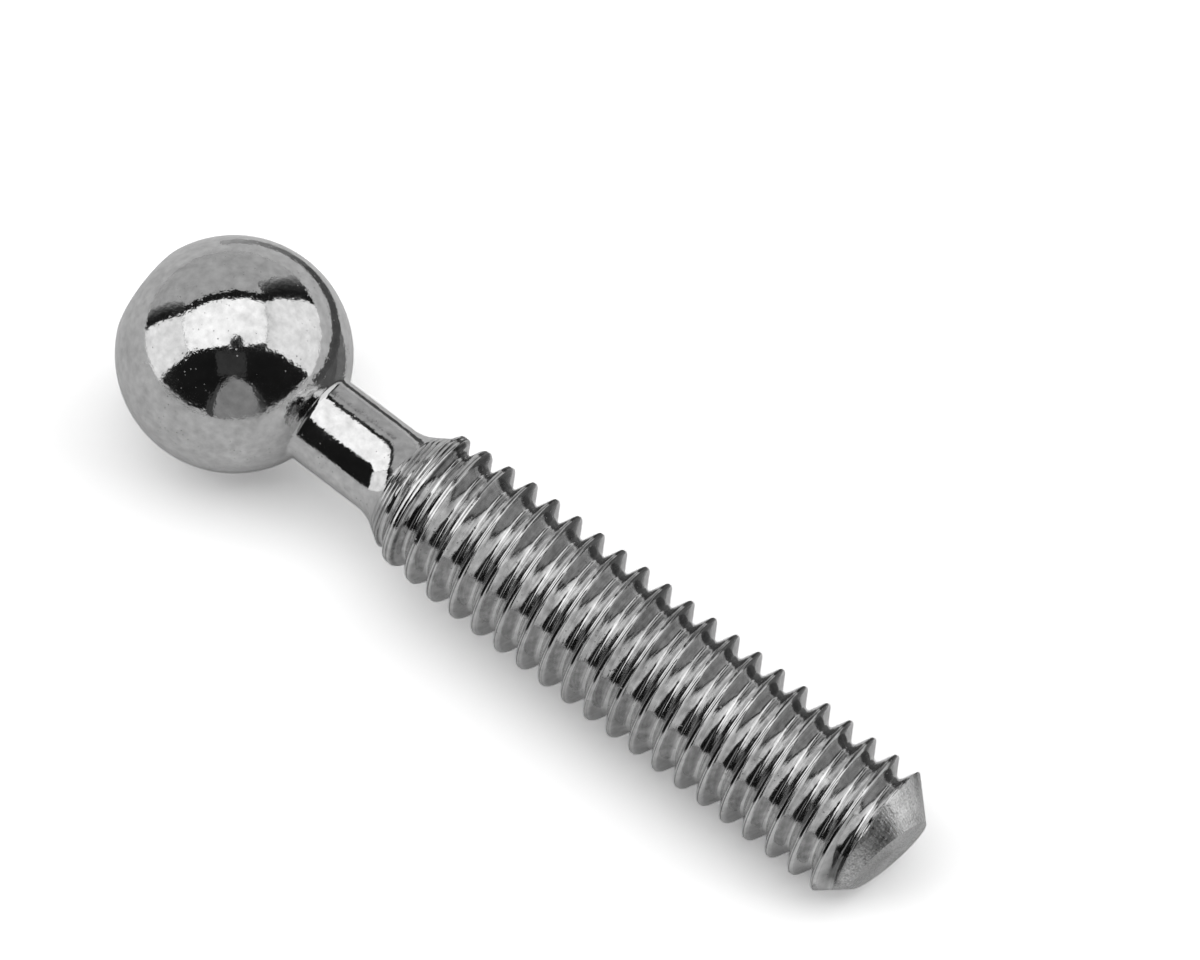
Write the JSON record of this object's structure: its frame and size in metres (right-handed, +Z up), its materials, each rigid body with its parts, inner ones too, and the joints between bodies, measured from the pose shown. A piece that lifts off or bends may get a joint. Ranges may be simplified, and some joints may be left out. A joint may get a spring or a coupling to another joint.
{
  "type": "threaded ball stud",
  "caption": "Plated steel ball with a hex socket in its flat pole, on a slim neck that flares into a right-hand threaded shank with a chamfered, cropped end: the fixed half of a ball joint.",
  "frame": {"origin": "centre of the ball", "axes": "+X along the shank towards its tip, which dips 3 degrees as the stud lies on a table, +Z up"},
  "size_m": [0.0234, 0.0058, 0.0058],
  "materials": {
    "plated_steel": "bright plating, duller on the chamfer and cropped end"
  },
  "bodies": {
    "root": {"ball_stud": "plated_steel"}
  },
  "joints": []
}
